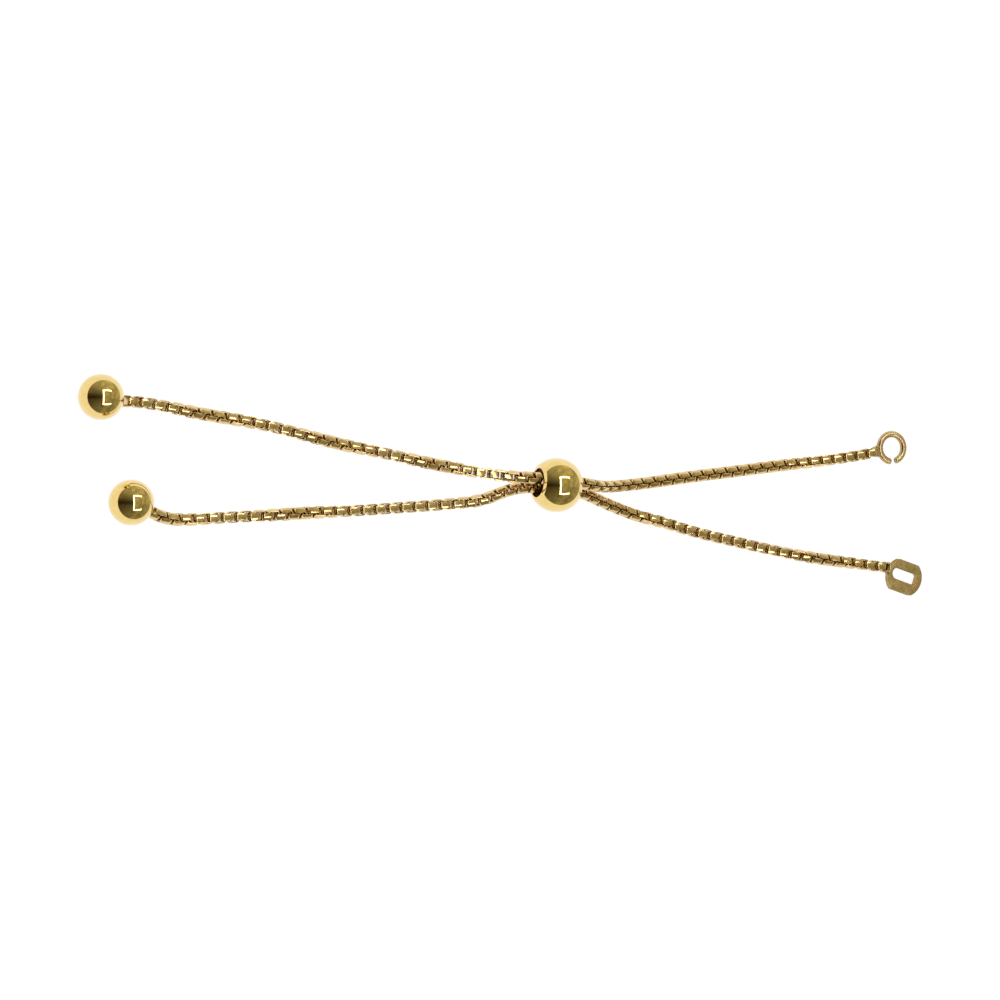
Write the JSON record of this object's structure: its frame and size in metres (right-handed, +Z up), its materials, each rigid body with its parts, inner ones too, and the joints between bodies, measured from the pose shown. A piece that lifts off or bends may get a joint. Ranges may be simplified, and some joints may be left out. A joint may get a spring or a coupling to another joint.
{
  "type": "bead slider",
  "caption": "Gripping slider bead on two round box chains that end in polished balls on one side and in an open jump ring and a slotted tab on the other.",
  "frame": {"origin": "centre of the whole object's bounding box, on the surface that it lies on", "axes": "+X from the end balls towards the jump ring and tab, +Y towards the chain that carries the jump ring, +Z up from the surface"},
  "size_m": [0.1062, 0.025, 0.0062],
  "materials": {
    "polished_metal": "mirror polished, gold-coloured",
    "chain_metal": "bright, worn along the edges, gold-coloured",
    "wire_metal": "drawn wire, satin, gold-coloured",
    "matt_metal": "matt, fine-grained, gold-coloured",
    "dark_rubber": "matt dark brown silicone"
  },
  "bodies": {
    "root": {"slider_bead": "polished_metal", "grip_core": "dark_rubber", "chain_upper": "chain_metal", "chain_lower": "chain_metal", "end_ball_upper": "polished_metal", "end_ball_lower": "polished_metal", "jump_ring": "wire_metal", "slot_tab": "matt_metal"}
  },
  "joints": []
}
